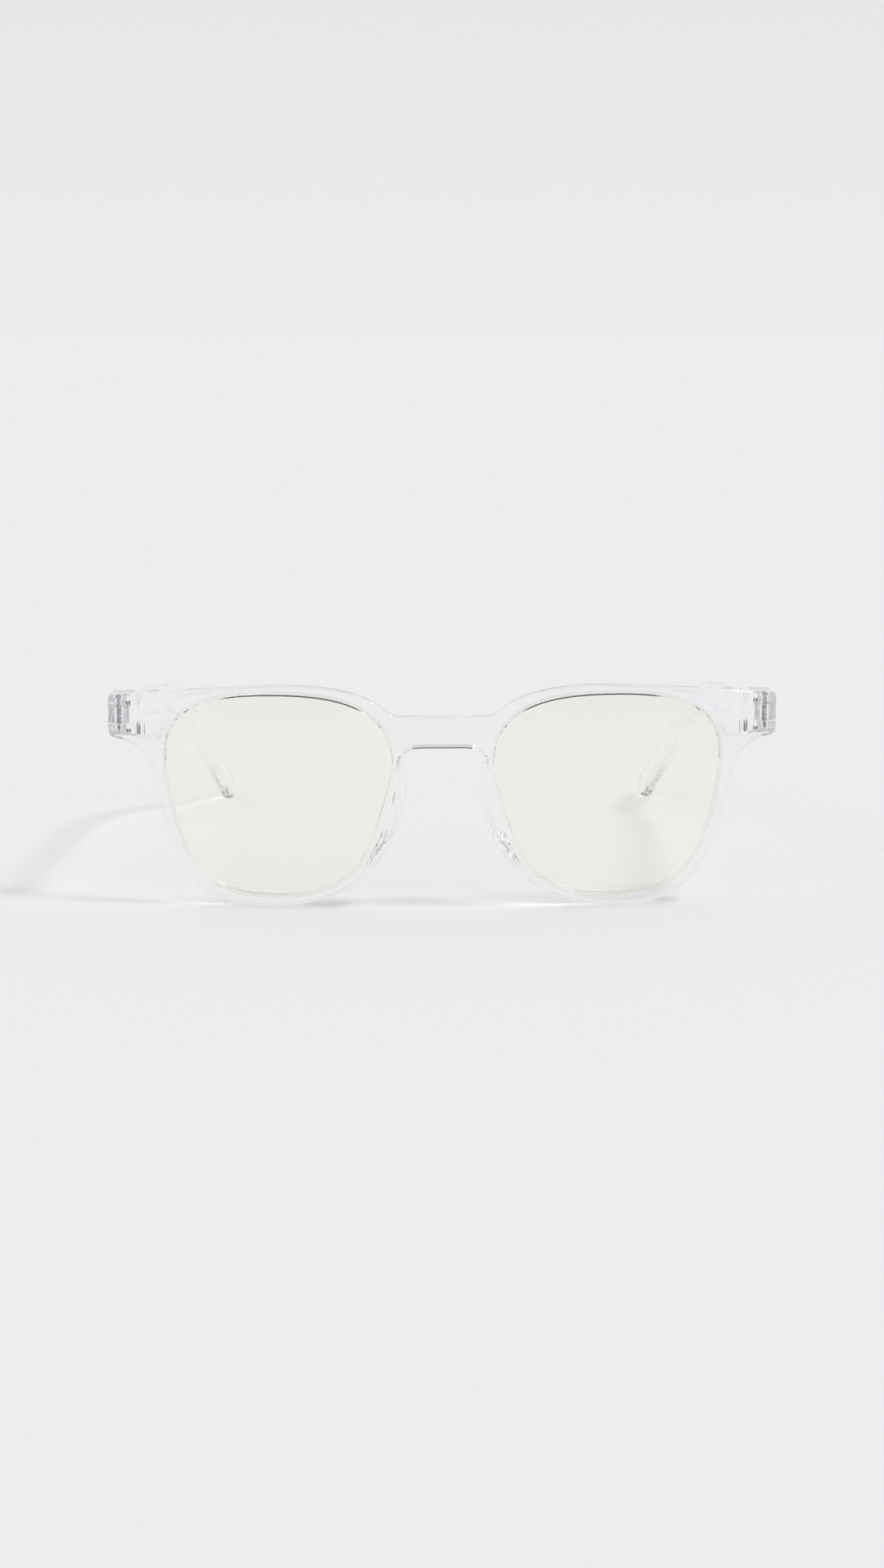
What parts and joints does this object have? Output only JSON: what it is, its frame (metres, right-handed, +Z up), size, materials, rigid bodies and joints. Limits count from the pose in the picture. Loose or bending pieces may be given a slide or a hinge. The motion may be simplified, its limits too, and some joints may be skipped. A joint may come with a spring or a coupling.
{
  "type": "spectacles",
  "caption": "Clear moulded plastic spectacles with pale yellow lenses, a keyhole bridge, moulded nose pads and folding temples on screw hinges.",
  "frame": {"origin": "middle of the open spectacles' box, on the surface that the rims and the temple tips stand on", "axes": "+X towards the right-hand temple seen from the front, -Y the way the lenses face, +Z up"},
  "size_m": [0.142, 0.1496, 0.0472],
  "materials": {
    "clear_plastic": "polished, water clear",
    "tinted_lens": "polished, faint yellow tint",
    "screw_steel": "turned steel"
  },
  "bodies": {
    "front": {"front_frame": "clear_plastic", "lens_left": "tinted_lens", "lens_right": "tinted_lens", "hinge_screw_left": "screw_steel", "hinge_screw_right": "screw_steel"},
    "left_temple": {"temple_left": "clear_plastic"},
    "right_temple": {"temple_right": "clear_plastic"}
  },
  "joints": [
    {"name": "left_temple_fold", "type": "hinge", "parent": "front", "child": "left_temple", "pos_m": [-0.0685, -0.05885, 0.0399], "axis": [0, 0, -1], "range_deg": [0, 85]},
    {"name": "right_temple_fold", "type": "hinge", "parent": "front", "child": "right_temple", "pos_m": [0.0685, -0.05885, 0.0399], "axis": [0, 0, 1], "range_deg": [0, 76]}
  ]
}
